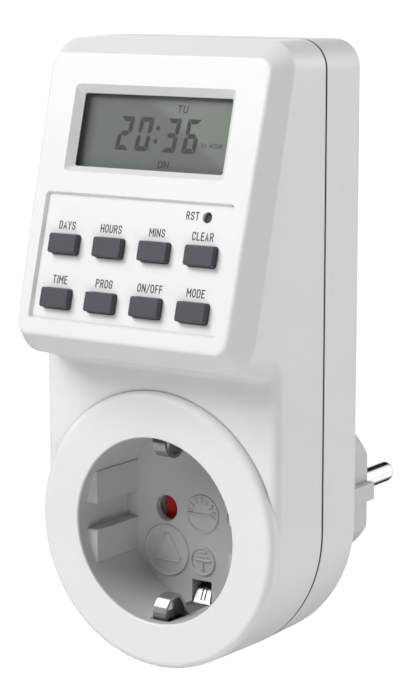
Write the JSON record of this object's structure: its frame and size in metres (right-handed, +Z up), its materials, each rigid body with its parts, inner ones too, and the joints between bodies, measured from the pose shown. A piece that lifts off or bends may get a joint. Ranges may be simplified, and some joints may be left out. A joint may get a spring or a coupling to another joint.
{
  "type": "plug-in timer switch",
  "caption": "Plug-in mains timer: a sloping panel with display and keys over a recessed earthed socket, and a round two-pin plug on the back.",
  "frame": {"origin": "middle of the plug's contact face, midway between the two pins", "axes": "+Y out of the plug along its pins towards the wall, +X to the right seen from the front, +Z up towards the display"},
  "size_m": [0.0604, 0.094, 0.1324],
  "materials": {
    "casing_white": "satin",
    "well_grey": "satin",
    "key_grey": "matte",
    "shutter_red": "satin",
    "insulation": "matte",
    "nickel": "satin",
    "steel": "brushed",
    "copper": "satin",
    "window_clear": "gloss",
    "lcd_glass": "gloss",
    "reflector": "matte",
    "board_green": "satin",
    "dark_parts": "satin",
    "relay_blue": "gloss",
    "film_yellow": "gloss"
  },
  "bodies": {
    "timer": {"front_shell": "casing_white", "rear_shell": "casing_white", "case_screws": "steel", "plug_body": "casing_white", "live_pin": "nickel", "neutral_pin": "nickel", "plug_earth_clips": "nickel", "socket_insert": "well_grey", "socket_earth_strip": "nickel", "shutter_cover": "insulation", "shutter_spring": "steel", "contact_carrier": "insulation", "live_socket_contact": "copper", "neutral_socket_contact": "copper", "live_in_strap": "copper", "live_out_strap": "copper", "neutral_strap": "copper", "lcd_window": "window_clear", "lcd_cell": "lcd_glass", "lcd_reflector": "reflector", "zebra_strips": "dark_parts", "lcd_holder": "casing_white", "display_board": "board_green", "display_board_screws": "steel", "main_board": "board_green", "main_board_screws": "steel", "board_link": "insulation", "key_mat": "key_grey", "reset_switch": "dark_parts", "relay_base": "dark_parts", "relay_cover": "relay_blue", "relay_bobbin": "dark_parts", "relay_coil": "copper", "relay_yoke": "steel", "relay_fixed_contact": "copper", "film_capacitor": "film_yellow", "electrolytic_capacitor": "dark_parts", "varistor": "relay_blue", "resistors": "film_yellow", "rectifier_diodes": "dark_parts", "controller_chip": "dark_parts", "crystal": "steel", "backup_cell": "steel", "cell_tabs": "nickel"},
    "key_day_body": {"key_day": "key_grey"},
    "key_hour_body": {"key_hour": "key_grey"},
    "key_minute_body": {"key_minute": "key_grey"},
    "key_clear_body": {"key_clear": "key_grey"},
    "key_set_body": {"key_set": "key_grey"},
    "key_program_body": {"key_program": "key_grey"},
    "key_on_off_body": {"key_on_off": "key_grey"},
    "key_mode_body": {"key_mode": "key_grey"},
    "reset_key_body": {"reset_key": "key_grey"},
    "shutter": {"shutter_plate": "shutter_red"},
    "armature": {"relay_armature": "steel", "relay_spring_contact": "copper"}
  },
  "joints": [
    {"name": "key_day_press", "type": "slide", "parent": "timer", "child": "key_day_body", "axis": [0, 0.9657, -0.2598], "range_m": [0, 0.0007], "stiffness_N_per_m": 400, "springref_m": -0.0005},
    {"name": "key_hour_press", "type": "slide", "parent": "timer", "child": "key_hour_body", "axis": [0, 0.9657, -0.2598], "range_m": [0, 0.0007], "stiffness_N_per_m": 400, "springref_m": -0.0005},
    {"name": "key_minute_press", "type": "slide", "parent": "timer", "child": "key_minute_body", "axis": [0, 0.9657, -0.2598], "range_m": [0, 0.0007], "stiffness_N_per_m": 400, "springref_m": -0.0005},
    {"name": "key_clear_press", "type": "slide", "parent": "timer", "child": "key_clear_body", "axis": [0, 0.9657, -0.2598], "range_m": [0, 0.0007], "stiffness_N_per_m": 400, "springref_m": -0.0005},
    {"name": "key_set_press", "type": "slide", "parent": "timer", "child": "key_set_body", "axis": [0, 0.9657, -0.2598], "range_m": [0, 0.0007], "stiffness_N_per_m": 400, "springref_m": -0.0005},
    {"name": "key_program_press", "type": "slide", "parent": "timer", "child": "key_program_body", "axis": [0, 0.9657, -0.2598], "range_m": [0, 0.0007], "stiffness_N_per_m": 400, "springref_m": -0.0005},
    {"name": "key_on_off_press", "type": "slide", "parent": "timer", "child": "key_on_off_body", "axis": [0, 0.9657, -0.2598], "range_m": [0, 0.0007], "stiffness_N_per_m": 400, "springref_m": -0.0005},
    {"name": "key_mode_press", "type": "slide", "parent": "timer", "child": "key_mode_body", "axis": [0, 0.9657, -0.2598], "range_m": [0, 0.0007], "stiffness_N_per_m": 400, "springref_m": -0.0005},
    {"name": "reset_press", "type": "slide", "parent": "timer", "child": "reset_key_body", "axis": [0, 0.9657, -0.2598], "range_m": [0, 0.0005], "stiffness_N_per_m": 300, "springref_m": -0.0004},
    {"name": "shutter_turn", "type": "hinge", "parent": "timer", "child": "shutter", "pos_m": [0, -0.04093, 0.0014], "axis": [0, 1, 0], "range_deg": [0, 42], "stiffness_Nm_per_rad": 0.002, "springref_deg": -11.46},
    {"name": "relay_close", "type": "hinge", "parent": "timer", "child": "armature", "pos_m": [-0.017, -0.04985, 0.0641], "axis": [-1, 0, 0], "range_deg": [0, 5.5], "stiffness_Nm_per_rad": 0.006, "springref_deg": -8.59}
  ]
}
